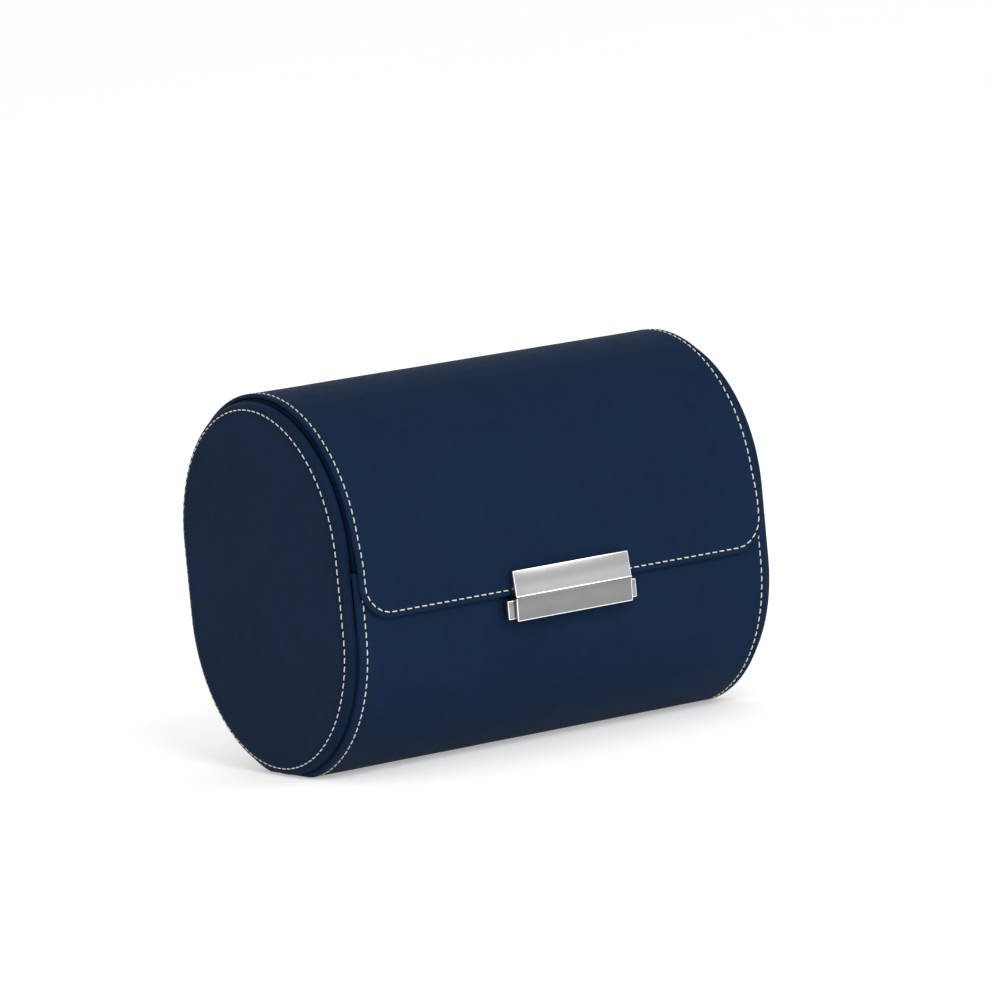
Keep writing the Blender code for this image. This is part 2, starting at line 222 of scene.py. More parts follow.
def metal_material(name, color, low, high, highlight_glow=0.0):
    """Polished plate with fine brush lines and a few faint smears; low to high is its roughness. A
    glow strength makes it emit white light: painted highlight.
    """
    n = Nodes(name)
    lines = n.noise(700, 3, 0.6, (1.0, 30.0, 30.0))
    smears = n.noise(130, 3, 0.5)
    tone = n.mix(n.scaled(smears, 0, 1, 0.3, 0.7), color, tuple(c * 0.93 for c in color))
    uneven = n.maths("ADD", lines, n.maths("MULTIPLY", smears, 0.6))
    n.set(Base_Color=tone, Metallic=1.0, Roughness=n.scaled(uneven, low, high, 0.4, 1.2))
    if highlight_glow:
        n.set(Emission_Color=(1, 1, 1, 1), Emission_Strength=highlight_glow)
    n.bump([(lines, 0.000006, 0.25)])
    return n.material


NAVY = leather_material("navy_leather", (0.0063, 0.0155, 0.0390), (0.0074, 0.0185, 0.0460),
                        (0.0072, 0.0175, 0.0440))
# Slightly darker copy of the navy leather for the end caps: painted shade on the ends.
NAVY_END_SHADED = leather_material("navy_end_leather", (0.0060, 0.0142, 0.0340), (0.0070, 0.0168, 0.0405),
                            (0.0070, 0.0168, 0.0410))
FLESH = leather_material("leather_back", (0.0050, 0.0120, 0.0300), (0.0062, 0.0150, 0.0370),
                         (0.0066, 0.0160, 0.0400))
# Near-black leather for the discs at the stitch ends: painted shade in the needle holes.
NEEDLE_HOLE_SHADE = leather_material("needle_hole", (0.0012, 0.0024, 0.0060), (0.0018, 0.0034, 0.0080),
                          (0.0014, 0.0028, 0.0070))
SUEDE = suede_material("suede_lining", (0.415, 0.375, 0.312), (0.485, 0.441, 0.370))
CUSHION = suede_material("suede_cushion", (0.475, 0.435, 0.370), (0.545, 0.503, 0.434))
THREAD_CREAM = thread_material("cream_thread", (0.50, 0.52, 0.45), (0.76, 0.78, 0.69))
THREAD_LINING = thread_material("lining_thread", (0.45, 0.42, 0.36), (0.62, 0.58, 0.50))
STEEL = metal_material("polished_steel", (0.44, 0.44, 0.445), 0.20, 0.30)
# Rougher, darker copy of the plate steel for the lock plate: the roughness is its brushed finish,
# the darker base colour is painted shade.
STEEL_LOW_SHADED = metal_material("brushed_steel", (0.262, 0.262, 0.266), 0.26, 0.36)
# Darker copy of the plate steel for the button caps: painted shade.
STEEL_EAR_SHADED = metal_material("button_steel", (0.325, 0.325, 0.33), 0.26, 0.36)
# Near-white polished chamfer metal that also emits white light: painted highlight along the clasp's
# edges.
CHAMFER_HIGHLIGHT = metal_material("bright_edge", (0.96, 0.96, 0.96), 0.10, 0.16, highlight_glow=0.30)
BONDED = leather_material("bonded_navy", (0.0058, 0.0140, 0.0350), (0.0068, 0.0165, 0.0410),
                          (0.006, 0.014, 0.036))
SATIN = metal_material("satin_steel", (0.50, 0.50, 0.51), 0.30, 0.45)
BRASS = metal_material("rivet_brass", (0.62, 0.46, 0.22), 0.25, 0.40)


# ---- Section paths ----
class Path:
    """A line in the section plane, measured by its own length. side turns its normals over."""

    def __init__(self, points, side=1):
        points = [points[0]] + [b for a, b in zip(points, points[1:]) if math.dist(a, b) > 1e-6]
        dense = []
        for (y0, z0), (y1, z1) in zip(points, points[1:]):
            steps = max(1, int(math.hypot(y1 - y0, z1 - z0) / (0.4 * MM)))
            for i in range(steps):
                dense.append((y0 + (y1 - y0) * i / steps, z0 + (z1 - z0) * i / steps))
        dense.append(points[-1])
        self.p = np.array(dense)
        step = np.linalg.norm(np.diff(self.p, axis=0), axis=1)
        self.s = np.concatenate([[0.0], np.cumsum(step)])
        self.length = self.s[-1]
        tangent = np.gradient(self.p, self.s, axis=0)
        for _ in range(4):
            padded = np.vstack([tangent[:1], tangent, tangent[-1:]])
            tangent = (padded[:-2] + 2 * padded[1:-1] + padded[2:]) / 4
        tangent /= np.linalg.norm(tangent, axis=1)[:, None]
        self.n = np.column_stack([tangent[:, 1], -tangent[:, 0]]) * side

    def at(self, s):
        point = [np.interp(s, self.s, self.p[:, k]) for k in (0, 1)]
        normal = [np.interp(s, self.s, self.n[:, k]) for k in (0, 1)]
        return point[0], point[1], normal[0], normal[1]

    def place(self, s, x, lift=0.0):
        y, z, ny, nz = self.at(s)
        return Vector((x, y + ny * lift, z + nz * lift))


def arc(radius, centre_z, start, stop, steps=90):
    angles = [math.radians(start + (stop - start) * i / steps) for i in range(steps + 1)]
    return [(radius * math.cos(a), centre_z + radius * math.sin(a)) for a in angles]


def under(radius, back):
    """Down the back and round the underside with its flat strip."""
    floor = R_BODY - radius
    points = [(radius, back), (radius, ARC_LOW)]
    points += [p for p in arc(radius, ARC_LOW, 0, -180) if p[1] > floor]
    split = sum(1 for y, z in points if y > 0)
    half = math.sqrt(radius ** 2 - (ARC_LOW - floor) ** 2)
    points[split:split] = [(half, floor), (-half, floor)]
    return points + [(-radius, ARC_LOW)]


def trough(radius, back, front):
    """The inside section, whose front stands in behind the clasp."""
    return under(radius, back) + [(RECESS - radius, RECESS_TOP), (RECESS - radius, front)]


def rolled_trough(radius, back, front, inside):
    """The outside section; its front end rolls over the panel's top edge and down inside."""
    points = under(radius, back)
    points += [(-radius + ROLL - ROLL * math.cos(a), front - ROLL + ROLL * math.sin(a))
               for a in np.linspace(0, math.pi / 2, 9)]
    bend = 0.5 * MM
    points += [(inside - bend + bend * math.sin(a), front - bend + bend * math.cos(a))
               for a in np.linspace(0, math.pi / 2, 6)]
    return points + [(inside, front - 2.5 * MM)]


def over_top(radius, foot):
    """From just above the hinge, over the top and straight down the front to foot."""
    return arc(radius, ARC_TOP, 3, 180) + [(-radius, foot)]


def lid_outside():
    """Up the back from the seam, over the top and down the front, where the flap stands proud."""
    points = [(R_BODY, BACK_SEAM), (R_BODY, ARC_TOP - 5 * MM)] + arc(R_LID, ARC_TOP, 0, 180)
    points += [(-R_LID, z) for z in np.linspace(ARC_TOP, MID_Z + 6 * MM, 14)[1:]]
    points.append((-R_LID, FLAP_FOOT))
    rise_from, rise_over = MID_Z + 19 * MM, 12 * MM
    return [(y - (step_between(rise_from - z, 0, FLAP_PROUD, 0, rise_over) if y < 0 else 0), z)
            for y, z in points]


def step_between(value, low, high, start, end):
    t = min(max((value - start) / (end - start), 0.0), 1.0)
    return low + (high - low) * t * t * (3 - 2 * t)


# ---- Meshes ----
def add_object(name, data):
    obj = bpy.data.objects.new(name, data)
    bpy.context.scene.collection.objects.link(obj)
    return obj


def shade_smooth(mesh):
    mesh.polygons.foreach_set("use_smooth", [True] * len(mesh.polygons))


def new_object(name, verts, faces, materials):
    mesh = bpy.data.meshes.new(name)
    mesh.from_pydata([tuple(v) for v in verts], [], faces)
    mesh.validate()
    for material in materials:
        mesh.materials.append(material)
    shade_smooth(mesh)
    return add_object(name, mesh)


def declare(piece, slot, body, *nodes):
    """Says which CAD nodes a piece stands for and what carries it; slot is not used."""
    if nodes:
        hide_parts(*nodes)
    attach(piece, body)
    return piece


def mark_edges(obj, values):
    """Stores how near each vertex is to a rim, from 0 to 1, for the leather material."""
    attribute = obj.data.attributes.new("edge", "FLOAT", "POINT")
    attribute.data.foreach_set("value", values)


def apply_modifiers(obj):
    bpy.context.view_layer.update()
    graph = bpy.context.evaluated_depsgraph_get()
    obj.data = bpy.data.meshes.new_from_object(obj.evaluated_get(graph))
    obj.modifiers.clear()


def tube_faces(rings, sides, base=0):
    """Faces between rings of vertices that follow each other, and a cap at each end."""
    faces = []
    for i in range(rings - 1):
        for k in range(sides):
            a, b = base + i * sides + k, base + i * sides + (k + 1) % sides
            faces.append((a, b, b + sides, a + sides))
    last = base + (rings - 1) * sides
    return faces + [tuple(range(base, base + sides)), tuple(range(last, last + sides))]


def shell_faces(rows, columns):
    """Faces of a grid, a second layer under it and the walls round its rim.

    Also gives 1 for each face of the second layer and 0 for the others.
    """
    shift = rows * columns
    faces = []
    for i in range(rows - 1):
        for j in range(columns - 1):
            a = i * columns + j
            quad = (a, a + 1, a + columns + 1, a + columns)
            faces += [quad, tuple(v + shift for v in quad[::-1])]
    layer = [0, 1] * (len(faces) // 2)
    ring = list(range(columns)) + [i * columns + columns - 1 for i in range(1, rows)]
    ring += [(rows - 1) * columns + j for j in range(columns - 2, -1, -1)]
    ring += [i * columns for i in range(rows - 2, 0, -1)]
    faces += [(b, a, a + shift, b + shift) for a, b in zip(ring, ring[1:] + ring[:1])]
    return faces, layer + [0] * len(ring)


def tidy(obj, distance=1e-6):
    """Joins vertices closer than distance, where it isn't 0, and turns the faces outward."""
    work = bmesh.new()
    work.from_mesh(obj.data)
    if distance:
        bmesh.ops.remove_doubles(work, verts=work.verts, dist=distance)
    bmesh.ops.recalc_face_normals(work, faces=work.faces)
    work.to_mesh(obj.data)
    work.free()
    return obj


def crisp(obj, angle=35):
    """Sharp where faces meet at a clear angle, smooth elsewhere."""
    shade_smooth(obj.data)
    work = bmesh.new()
    work.from_mesh(obj.data)
    for e in work.edges:
        e.smooth = e.calc_face_angle(0.0) < math.radians(angle)
    work.to_mesh(obj.data)
    work.free()


def ease(distance, radius):
    """How far a rounded edge has dropped at this distance from the rim."""
    if distance >= radius:
        return 0.0
    return radius - math.sqrt(max(radius ** 2 - (radius - distance) ** 2, 0.0))


EDGE_STEPS = [0, 0.08, 0.2, 0.4, 0.65, 0.95, 1.3, 1.6, 1.85, 2.1, 2.4, 2.7, 3.1, 3.7, 4.8, 6.5]
COLUMN = 2.2 * MM               # spacing of the grid away from the edges


def graded(length, start=True, end=True):
    """Steps along a side that get finer towards the edges."""
    near = [d * MM for d in EDGE_STEPS]
    low = near if start else [0.0]
    high = [length - d for d in near] if end else [length]
    middle_start, middle_end = low[-1], high[-1]
    count = max(2, int((middle_end - middle_start) / COLUMN))
    middle = [middle_start + (middle_end - middle_start) * i / count for i in range(1, count)]
    return sorted(set(low + middle + high))


def skin(name, path, half, thickness, inset, corner=(0.0, 0.0), edges=(True, True),
         materials=(NAVY, FLESH), wave=0.05 * MM, groove=0.13 * MM, rounding=0.45 * MM, fine=(),
         dent=lambda s, x: 0.0):
    """A leather sheet wrapped on a section path.

    half(s) is its half width, inset the distance of its stitch line from the rim, corner the
    corner radii at the path's start and end, and edges says which ends of the path are rims.
    fine adds rows of the grid, and dent(s, x) is how far the sheet is pressed in.
    """
    length = path.length

    def rim_distance(s, x):
        full = half(s)
        best = full - abs(x)
        for gap, radius, is_rim in ((s, corner[0], edges[0]), (length - s, corner[1], edges[1])):
            if not is_rim:
                continue
            across = abs(x) - (full - radius)
            if radius and gap < radius and across > 0:
                best = min(best, radius - math.hypot(across, radius - gap))
            else:
                best = min(best, gap)
        return max(best, 0.0)

    def width(s):
        value = half(s)
        for gap, radius in ((s, corner[0]), (length - s, corner[1])):
            if radius and gap < radius:
                value -= radius - math.sqrt(max(radius ** 2 - (radius - gap) ** 2, 0.0))
        return value

    rows = set(graded(length, *edges)) | set(fine)
    if corner[1]:
        rows |= {length - corner[1] * k / 14 for k in range(1, 15)}
    if corner[0]:
        rows |= {corner[0] * k / 14 for k in range(1, 15)}
    top, below, near = [], [], []
    columns = 0
    for s in sorted(rows):
        w = width(s)
        row_inset = inset(s) if callable(inset) else inset
        steps = [c - w for c in graded(2 * w)]
        columns = columns or len(steps)
        if len(steps) != columns:
            even = np.linspace(0, 1, len(steps))
            steps = list(np.interp(np.linspace(0, 1, columns), even, steps))
        for x in steps:
            d = rim_distance(s, x)
            soft = noise.noise(Vector((x * 60, s * 60, 3.1)))
            soft += 0.5 * noise.noise(Vector((x * 170, s * 170, 9)))
            hollow = dent(s, x)
            lift = -hollow - ease(d, rounding) + soft * wave * min(1.0, d / (3 * MM))
            lift -= groove * math.exp(-((d - row_inset) / (0.42 * MM)) ** 2)
            lift += 0.35 * groove * math.exp(-((d - row_inset * 0.45) / (0.5 * MM)) ** 2)
            top.append(path.place(s, x, lift))
            below.append(path.place(s, x, -hollow - thickness + ease(d, rounding * 0.6)))
            near.append(max(0.0, 1.0 - d / (0.35 * MM)))
    faces, layer = shell_faces(len(rows), columns)
    obj = new_object(name, top + below, faces, materials)
    obj.data.polygons.foreach_set("material_index", layer[:len(obj.data.polygons)])
    mark_edges(obj, near * 2)
    return tidy(obj, 0)


def stitches(name, spots, thread=THREAD_CREAM, radius=THREAD, lift=0.02 * MM, hole=NEEDLE_HOLE_SHADE):
    """One short arched strand for each (centre, along, normal), with a needle hole at each end: a
    small disc in the hole material, whose near-black default is painted shade.
    """
    verts, faces, index = [], [], []
    rings, sides = 7, 7
    angles = [2 * math.pi * k / sides for k in range(sides)]
    for number, (centre, along, normal) in enumerate(spots):
        along = along.normalized()
        normal = (normal - along * normal.dot(along)).normalized()
        side = along.cross(normal)
        turn = 0.06 + 0.02 * math.sin(number * 12.9898)
        along = (along + side * turn).normalized()
        side = along.cross(normal)
        base = len(verts)
        for t in (-1 + 2 * i / (rings - 1) for i in range(rings)):
            fat = radius * (1 - 0.5 * abs(t) ** 5)
            height = lift + radius * 0.45 - (radius * 1.5) * abs(t) ** 5
            middle = centre + along * (t * STITCH_HALF) + normal * height
            verts += [middle + side * (fat * math.cos(a)) + normal * (fat * 0.85 * math.sin(a))
                      for a in angles]
        strand = tube_faces(rings, sides, base)
        faces += strand
        index += [0] * len(strand)
        for end in (-1, 1):
            tip = centre + along * (end * (STITCH_HALF + 0.10 * MM)) + normal * (lift - 0.05 * MM)
            first = len(verts)
            verts += [tip + along * (0.24 * MM * math.cos(a)) + side * (0.21 * MM * math.sin(a))
                      for a in angles]
            verts += [tip + normal * 0.10 * MM, tip - normal * 0.10 * MM]
            for k in range(sides):
                a, b = first + k, first + (k + 1) % sides
                faces += [(a, b, first + sides), (b, a, first + sides + 1)]
            index += [1] * (2 * sides)
    obj = new_object(name, verts, faces, [thread, hole])
    obj.data.polygons.foreach_set("material_index", index)
    return tidy(obj, 1e-9)


def spots_along(points, normal_at):
    """Evenly spaced stitches along a line of points; the pitch gives a little to fit."""
    points = [Vector(p) for p in points]
    lengths = [0.0]
    for a, b in zip(points, points[1:]):
        lengths.append(lengths[-1] + (b - a).length)
    count = max(1, round(lengths[-1] / PITCH))
    real = lengths[-1] / count
    flat = np.array([tuple(p) for p in points])

    def at(distance):
        return Vector([np.interp(distance, lengths, flat[:, k]) for k in range(3)])

    found = []
    for middle in ((i + 0.5) * real for i in range(count)):
        spot = at(middle)
        found.append((spot, at(middle + 0.3 * real) - at(middle - 0.3 * real), normal_at(spot)))
    return found


def section_normal(point):
    """Outward normal of the oval section at a point."""
    z = min(max(point.z, ARC_LOW), ARC_TOP)
    out = Vector((0.0, point.y, point.z - z))
    return out.normalized() if out.length > 1e-6 else Vector((0, 0, 1))


def build_lid_wrap():
    path = Path(lid_outside())
    hinge_s = ARC_TOP - BACK_SEAM

    def half(s):
        return step_between(s, X_BODY, X_LID, hinge_s - 2.5 * MM, hinge_s + 1.0 * MM)

    def inset(s):
        return step_between(s, INSET_BODY, INSET_LID, hinge_s - 5 * MM, hinge_s + 3 * MM)

    wrap = skin("lid_wrap", path, half, LEATHER, inset, corner=(0, FLAP_CORNER),
                edges=(False, True))
    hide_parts("lid_leather")
    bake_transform(wrap)

    turn = FLAP_CORNER - INSET_LID
    corner_s = path.length - FLAP_CORNER
    corner_x = half(corner_s) - FLAP_CORNER
    line = [(s, half(s) - inset(s)) for s in np.linspace(0.4 * MM, corner_s, 400)]
    line += [(corner_s + turn * math.sin(a), corner_x + turn * math.cos(a))
             for a in np.linspace(0.05, math.pi / 2, 24)]
    line += [(path.length - INSET_LID, x) for x in np.linspace(corner_x, 0, 60)[1:]]
    row = stitches("lid_stitches", spots_along(both_sides(path, line, -0.10 * MM), section_normal))
    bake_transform(row)


def both_sides(path, line, lift):
    """Points of a (s, x) line down one side, mirrored back up the other."""
    return [path.place(s, x, lift) for s, x in line + [(s, -x) for s, x in line[::-1]][1:]]


def build_body_wrap():
    inside = -42.25 * MM
    path = Path(rolled_trough(R_BODY, BACK_SEAM, FRONT_TOP, inside), -1)
    panel_top = Path(under(R_BODY, BACK_SEAM) + [(-R_BODY, FRONT_TOP)]).length
    roll = [panel_top - 1.6 * MM + 0.22 * MM * i for i in range(14)]
    roll += [path.length - 3.6 * MM + 0.2 * MM * i for i in range(8)]
    foot, head = (panel_top - (FRONT_TOP - MID_Z) + z * MM for z in (-8.6, 1.2))
    roll += list(np.arange(foot - 1.0 * MM, head + 1.6 * MM, 0.4 * MM))

    def pocket(s, x):
        """Room in the panel for the plate riveted behind the flap."""
        up = step_between(s, 0, 1, foot, foot + 0.8 * MM)
        down = step_between(s, 1, 0, head - 1.2 * MM, head)
        return POCKET * up * down * step_between(abs(x), 1, 0, POCKET_HALF, POCKET_HALF + 2.5 * MM)

    wrap = skin("body_wrap", path, lambda s: X_BODY, LEATHER + 0.4 * MM, INSET_BODY,
                edges=(False, True), fine=roll, dent=pocket)
    declare(wrap, "navy", "case", "body_leather")
    turn = 2.5 * MM
    side, top = X_BODY - INSET_BODY, panel_top - INSET_BODY
    line = [(s, side) for s in np.linspace(0.4 * MM, top - turn, 500)]
    line += [(top - turn + turn * math.sin(a), side - turn + turn * math.cos(a))
             for a in np.linspace(0.1, math.pi / 2, 10)]
    line += [(top, x) for x in np.linspace(side - turn, 0, 60)[1:]]
    row = stitches("body_stitches", spots_along(both_sides(path, line, -0.10 * MM), section_normal))
    declare(row, "cushion", "case")


# ---- End caps ----
CAP_INWARD = 4.7 * MM       # how far the rounded edge reaches over the face
CAP_ACROSS = 3.1 * MM       # and along the rim


def oval(radius, straight, count, start=0.0):
    """Evenly spaced points round an upright oval about the origin.

    straight is half the length of its straight sides. The first point is start past the top of
    the +y side.
    """
    bend, side = math.pi * radius, 2 * straight
    total = 2 * (bend + side)
    loop = []
    for i in range(count):
        d = (total * i / count + start) % total
        if d < bend:
            a = d / radius
            loop.append((radius * math.cos(a), straight + radius * math.sin(a)))
        elif d < bend + side:
            loop.append((-radius, straight - (d - bend)))
        elif d < 2 * bend + side:
            a = (d - bend - side) / radius
            loop.append((-radius * math.cos(a), -straight - radius * math.sin(a)))
        else:
            loop.append((radius, -straight + (d - 2 * bend - side)))
    return loop


def oval_loop(radius, count=128):
    """The section's own oval, from the middle of its back."""
    return [(y, MID_Z + z) for y, z in oval(radius, STRAIGHT, count, -STRAIGHT)]


def cap_profile():
    """(inset from the outline, x) from the glued inner face, round the rim, to the middle."""
    inner = X_END - LEATHER - 0.2 * MM
    rim = X_BODY + 0.04 * MM
    profile = [(20 * MM, inner), (LEATHER + 1.2 * MM, inner), (LEATHER, inner - 1.2 * MM),
               (LEATHER, rim + 0.2 * MM), (0.9 * MM, rim), (0.3 * MM, rim),
               (0.10 * MM, rim + 0.03 * MM), (0.02 * MM, rim + 0.12 * MM)]
    for i in range(1, 25):
        a = math.pi / 2 * i / 24
        inset = CAP_INWARD * (1 - math.cos(a))
        x = X_END - CAP_ACROSS + CAP_ACROSS * math.sin(a)
        x -= 0.13 * MM * math.exp(-((inset - INSET_CAP) / (0.45 * MM)) ** 2)
        profile.append((inset, x))
    crown = [5.4, 6.5, 8, 10, 13, 17, 22, 28, 34, 40, 44.5]
    profile += [(inset * MM, X_END - 0.02 * MM) for inset in crown]
    return profile


def build_end_cap(side, label):
    profile = cap_profile()
    verts = []
    for inset, x in profile:
        for y, z in oval_loop(R_CAP - inset):
            soft = 0.10 * MM * noise.noise(Vector((y * 45, z * 45, side * 4.0)))
            out = soft if x > X_END - 1.0 * MM else 0.0
            verts.append((side * (x + (out - 0.1 * MM if out else 0.0)), y, z))
    faces = tube_faces(len(profile), len(verts) // len(profile))
    cap = tidy(new_object(f"end_cap_{label}", verts, faces, [NAVY_END_SHADED]))
    mark_edges(cap, [max(0.0, 1 - (abs(v.co.x) - X_CAP) / (0.5 * MM)) for v in cap.data.vertices])
    declare(cap, "navy", "case", f"end_leather_{label}")

    a = math.acos(1 - INSET_CAP / CAP_INWARD)
    x = X_END - CAP_ACROSS + CAP_ACROSS * math.sin(a) - 0.16 * MM
    loop = [Vector((side * x, y, z)) for y, z in oval_loop(R_CAP - INSET_CAP, 400)]
    tilt = math.atan2(CAP_ACROSS * math.cos(a), CAP_INWARD * math.sin(a))

    def normal_at(point):
        return section_normal(point) * math.sin(tilt) + Vector((side * math.cos(tilt), 0, 0))

    spots = spots_along(loop + loop[:1], normal_at)
    declare(stitches(f"cap_stitches_{label}", spots, radius=THREAD_CAP), "cushion", "case")


def build_lid_rest(side, label):
    """The ledge the lid closes on, with the thin raised strip that shows beside the flap."""
    path = Path(over_top(R_LID, MID_Z + 8.3 * MM))
    profile = [(73.6, 41.2), (73.9, 41.0), (76.0, 41.0), (76.1, 41.2), (76.1, 45.6), (76.0, 45.9),
               (75.8, 46.0), (75.6, 45.9), (75.5, 45.6), (75.5, 43.6), (75.3, 43.4), (73.9, 43.4),
               (73.6, 43.2)]         # x and radius in mm
    rows = np.linspace(0, path.length, 90)
    verts = [path.place(s, side * x * MM, r * MM - R_LID) for s in rows for x, r in profile]
    faces = tube_faces(len(rows), len(profile))
    rest = tidy(new_object(f"lid_ledge_{label}", verts, faces, [NAVY]))
    crisp(rest)
    declare(rest, "navy", "case", f"lid_rest_{label}")


# ---- Clasp ----
PLATE_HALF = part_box("lock_case")[1].x
RIDGE_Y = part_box("clasp_plate")[0].y        # the crease between the plates stands out furthest
PLATE_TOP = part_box("clasp_plate")[1].z
LOCK_LOW, LOCK_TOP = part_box("lock_case")[0].z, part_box("lock_case")[1].z
PLATE_LOW = LOCK_TOP + 0.3 * MM
PLATE_BACK, LOCK_BACK = -49.1 * MM, -48.8 * MM
LOCK_FOOT_Y = -52.9 * MM
PLATE_LEAN = 0.9 * MM           # the upper plate's top stands back by this much
PLATE_EDGE = 0.30 * MM
LOCK_ROOM = (-51.9 * MM, -49.3 * MM)        # y of the channel for the buttons in the lock
TONGUE_Y = (-50.6 * MM, -49.6 * MM)


def front_highlight_edges_only(mesh, plain):
    """Keeps the glowing bright-edge material, a painted highlight, on the outline of the front face
    only; plain is a z side left out.
    """
    for face in mesh.polygons:
        if face.normal.y > -0.2 or face.normal.z * plain > 0.2:
            face.material_index = 0


def chamfered(name, outline, x, width, material, body, node=None, plain=0, cuts=()):
    """A metal bar of constant section with rounded edges; cuts are boxes taken out of it."""
    work = bmesh.new()
    face = work.faces.new([work.verts.new((x[0], *point)) for point in outline])
    moved = bmesh.ops.extrude_face_region(work, geom=[face])["geom"]
    bmesh.ops.translate(work, verts=[v for v in moved if isinstance(v, bmesh.types.BMVert)],
                        vec=(x[1] - x[0], 0, 0))
    bmesh.ops.recalc_face_normals(work, faces=work.faces)
    bmesh.ops.bevel(work, geom=list(work.edges), offset=width, segments=2, profile=0.5,
                    affect="EDGES", clamp_overlap=True, material=1)
    mesh = bpy.data.meshes.new(name)
    work.to_mesh(mesh)
    work.free()
    front_highlight_edges_only(mesh, plain)
    mesh.materials.append(material)
    # The front rounded edges take this glowing material: painted highlight.
    mesh.materials.append(CHAMFER_HIGHLIGHT)
    obj = add_object(name, mesh)
    for low, high in cuts:
        bpy.ops.mesh.primitive_cube_add(size=1, location=(Vector(low) + Vector(high)) / 2)
        tool = bpy.context.object
        tool.scale = Vector(high) - Vector(low)
        cut = obj.modifiers.new("cut", "BOOLEAN")
        cut.operation = "DIFFERENCE"
        cut.solver = "EXACT"
        cut.object = tool
        apply_modifiers(obj)
        bpy.data.objects.remove(tool, do_unlink=True)
    crisp(obj, 25)
    return declare(obj, "silver", body, *([node] if node else []))


def bar(name, x, y, z, width, material, body, node=None):
    """A plain rounded bar between two values on each axis."""
    outline = [(y[0], z[0]), (y[1], z[0]), (y[1], z[1]), (y[0], z[1])]
    return chamfered(name, outline, x, width, material, body, node)


def build_clasp():
    across = (-PLATE_HALF, PLATE_HALF)
    upper = [(PLATE_BACK, PLATE_LOW), (RIDGE_Y, PLATE_LOW), (RIDGE_Y + PLATE_LEAN, PLATE_TOP),
             (PLATE_BACK, PLATE_TOP)]
    chamfered("clasp_plate_face", upper, across, PLATE_EDGE, STEEL, "lid", "clasp_plate", plain=-1)
    for name, half, low, high in (("clasp_tongue", 3.0, -10.9, -7.5),
                                  ("clasp_tongue_head", 5.0, -11.8, -10.6)):
        bar(name, (-half * MM, half * MM), TONGUE_Y, (MID_Z + low * MM, MID_Z + high * MM),
            0.12 * MM, SATIN, "lid")
    # A thin glowing bar along the crease between the plates: painted highlight line.
    bar("clasp_ridge", across, (RIDGE_Y - 0.10 * MM, RIDGE_Y + 0.09 * MM),
        (PLATE_LOW - 0.19 * MM, PLATE_LOW + 0.19 * MM), 0.05 * MM, CHAMFER_HIGHLIGHT, "lid")
    low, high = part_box("clasp_backplate")
    flap_back = LEATHER - R_LID - FLAP_PROUD
    backplate = bar("clasp_backplate_face", (low.x, high.x),
                    (flap_back - 0.05 * MM, flap_back + 0.5 * MM), (low.z, high.z), 0.12 * MM,
                    SATIN, "lid", "clasp_backplate")
    backplate.data.materials[1] = SATIN
    for _, label in SIDES:
        rivet_head(f"clasp_rivet_{label}", flap_back + 0.5 * MM)
    front, back = LOCK_ROOM
    channel = ((-0.03, front, LOCK_LOW + 0.5 * MM), (0.03, back, LOCK_TOP - 0.5 * MM))
    mouth = ((-5.4 * MM, front, MID_Z - 10 * MM), (5.4 * MM, back, LOCK_TOP + 1 * MM))
    lower = [(LOCK_BACK, LOCK_LOW), (LOCK_FOOT_Y, LOCK_LOW), (RIDGE_Y, LOCK_TOP),
             (LOCK_BACK, LOCK_TOP)]
    chamfered("lock_plate_face", lower, across, PLATE_EDGE, STEEL_LOW_SHADED, "case", "lock_case", plain=1,
              cuts=(channel, mouth))
    for side, label in SIDES:
        body = f"{label}_button"
        low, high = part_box(f"button_{label}")
        depth = (low.y, high.y)
        outer = max(abs(low.x), abs(high.x))
        bar(f"button_cap_{label}", sorted((side * 12.8 * MM, side * outer)), depth,
            (low.z, high.z), 0.26 * MM, STEEL_EAR_SHADED, body, f"button_{label}")
        arm_top = MID_Z - (9.5 if side < 0 else 10.7) * MM      # one arm passes over the other
        arm_z = (arm_top - 0.9 * MM, arm_top)
        bar(f"catch_rail_{label}", sorted((side * 13.2 * MM, -side * 8.5 * MM)),
            (low.y, low.y + 0.5 * MM), arm_z, 0.1 * MM, SATIN, body)
        bar(f"catch_nose_{label}", sorted((-side * 5.3 * MM, -side * 8.5 * MM)), depth, arm_z,
            0.15 * MM, SATIN, body)
        build_coil(label)


def rivet_head(node, y):
    """A low brass dome that stands on the plate behind the flap."""
    low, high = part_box(node)
    centre, radius = (low + high) / 2, (high.x - low.x) / 2
    profile = [(radius * math.sin(a), 0.45 * MM * math.cos(a))
               for a in np.linspace(0.08, math.pi / 2, 7)]
    profile.append((radius, -0.1 * MM))
    sides = 24
    verts = [(centre.x + r * math.cos(t), y + h, centre.z + r * math.sin(t)) for r, h in profile
             for t in np.linspace(0, 2 * math.pi, sides, endpoint=False)]
    head = tidy(new_object(f"{node}_head", verts, tube_faces(len(profile), sides), [BRASS]))
    declare(head, "brass", "lid", node)


